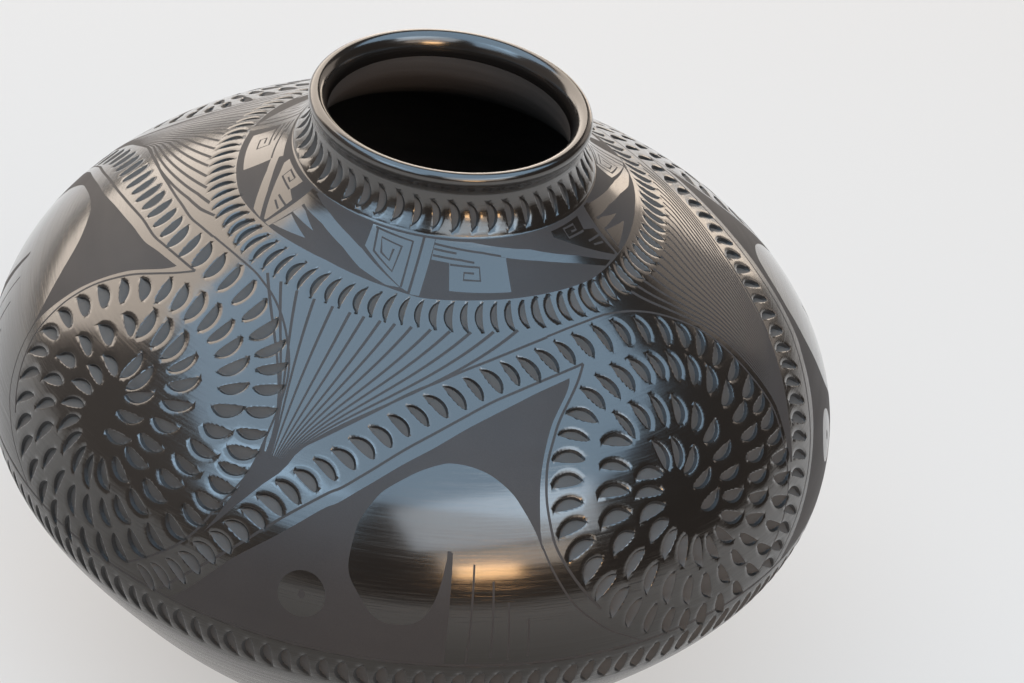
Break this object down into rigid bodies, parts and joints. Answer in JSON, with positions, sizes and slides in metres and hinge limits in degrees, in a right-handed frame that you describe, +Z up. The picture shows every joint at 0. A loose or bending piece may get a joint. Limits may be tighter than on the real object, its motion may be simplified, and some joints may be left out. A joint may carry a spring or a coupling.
{
  "type": "pottery olla",
  "caption": "Wide coil-built clay olla with a low round shoulder, a short flared neck and a flat-topped lip, black with carved and matte-painted ornament.",
  "frame": {"origin": "middle of the flat that the pot rests on", "axes": "+Z up the pot's axis, from the rest to the mouth; the pot is turned about +Z"},
  "size_m": [0.27, 0.27, 0.1995],
  "materials": {
    "burnished_blackware": "stone-burnished and smoked black, glossy",
    "carved_blackware": "burnished black with gouged rows and matte black slip between the glossy figures"
  },
  "bodies": {
    "root": {"moulded_base": "burnished_blackware", "lower_wall_coil_1": "burnished_blackware", "lower_wall_coil_2": "burnished_blackware", "lower_wall_coil_3": "burnished_blackware", "shoulder_coil_1": "carved_blackware", "shoulder_coil_2": "carved_blackware", "shoulder_coil_3": "carved_blackware", "shoulder_coil_4": "carved_blackware", "shoulder_coil_5": "carved_blackware", "neck_coil": "burnished_blackware", "rim_coil": "burnished_blackware"}
  },
  "joints": []
}
